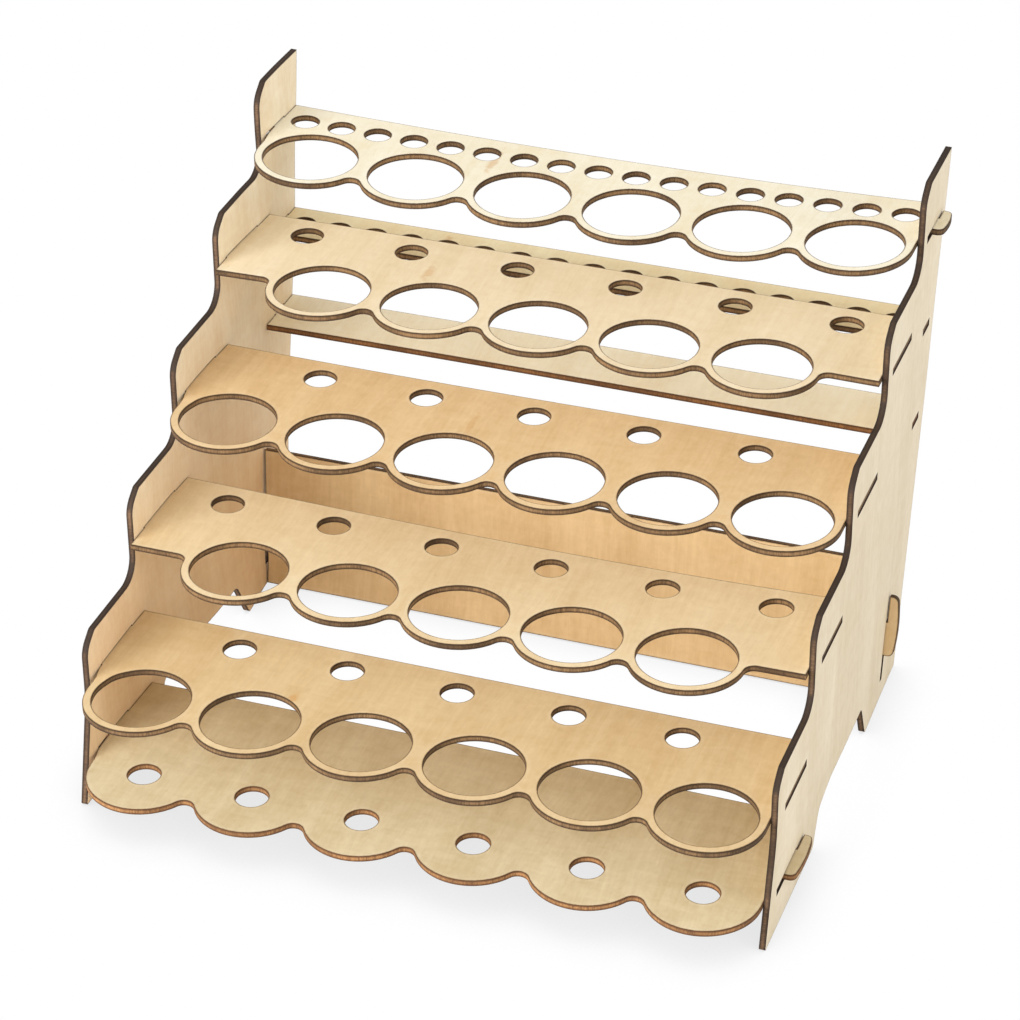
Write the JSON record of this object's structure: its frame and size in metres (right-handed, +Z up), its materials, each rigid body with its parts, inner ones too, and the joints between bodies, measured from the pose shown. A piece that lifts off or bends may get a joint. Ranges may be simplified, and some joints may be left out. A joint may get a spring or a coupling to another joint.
{
  "type": "paint rack organizer",
  "caption": "Stepped knock-down plywood rack: ringed holes hold paint pots in staggered tiers, with a brush row behind and hook tabs that lock the frame.",
  "frame": {"origin": "on the table plane, at the middle of the rack's overall width and depth", "axes": "+X to the right, +Y from the user's side to the back, +Z up"},
  "size_m": [0.2684, 0.2398, 0.2055],
  "materials": {
    "side_board": "bare sanded veneer, pale",
    "shelf_board": "bare sanded veneer, laser-browned edges",
    "back_board": "bare sanded veneer, grain upright"
  },
  "bodies": {
    "frame": {"side_left": "side_board", "side_right": "side_board", "shelf_2": "shelf_board", "shelf_3": "shelf_board", "shelf_4": "shelf_board", "shelf_5": "shelf_board", "brush_guide_strip": "shelf_board", "brush_rest_strip": "shelf_board"},
    "top_shelf": {"shelf_1_top": "shelf_board"},
    "tray": {"bottom_tray": "shelf_board"},
    "back": {"back_panel": "back_board"}
  },
  "joints": [
    {"name": "top_shelf_lock", "type": "slide", "parent": "frame", "child": "top_shelf", "axis": [0, -1, 0], "range_m": [0, 0.0066]},
    {"name": "tray_lock", "type": "slide", "parent": "frame", "child": "tray", "axis": [0, -1, 0], "range_m": [0, 0.0092]},
    {"name": "back_panel_lock", "type": "slide", "parent": "frame", "child": "back", "axis": [0, -0.1822, -0.9833], "range_m": [0, 0.0106]}
  ]
}
